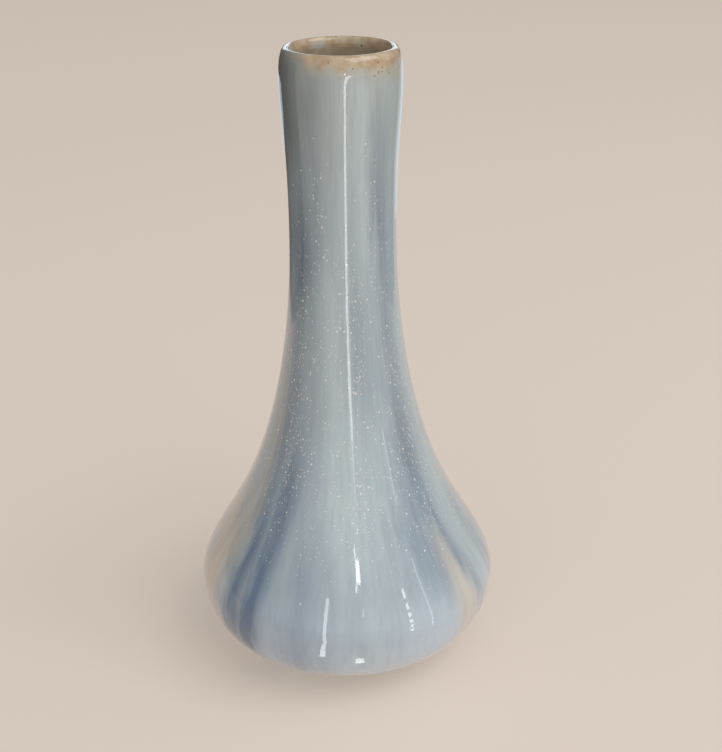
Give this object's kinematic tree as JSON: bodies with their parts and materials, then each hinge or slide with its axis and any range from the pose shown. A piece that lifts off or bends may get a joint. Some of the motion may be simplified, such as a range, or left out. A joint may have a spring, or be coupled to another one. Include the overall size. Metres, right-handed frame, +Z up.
{
  "type": "ceramic bud vase",
  "caption": "Stoneware bud vase with a slender neck and low flared belly, streaked blue glaze outside, an ochre lip and a beige liner.",
  "frame": {"origin": "on the table, under the middle of the foot ring", "axes": "+Z up along the vase's axis, through the mouth; the vase is round, so +X and +Y are equal, and -Y faces the viewer"},
  "size_m": [0.0924, 0.0924, 0.1893],
  "materials": {
    "clay": "unglazed buff stoneware, fine sandy grain with a few iron specks, matt",
    "streaked_glaze": "glossy reactive glaze, slate blue runs over grey-green and cream, fine pale crystals, lightly rippled",
    "lip_glaze": "glossy glaze broken thin to mottled ochre over the lip, with small dark iron specks",
    "liner_glaze": "glossy beige liner glaze with darker olive patches",
    "base_glaze": "glossy grey-blue glaze pooled inside the foot ring"
  },
  "bodies": {
    "root": {"clay_body": "clay", "outer_glaze": "streaked_glaze", "lip_glaze": "lip_glaze", "liner_glaze": "liner_glaze", "base_glaze": "base_glaze"}
  },
  "joints": []
}
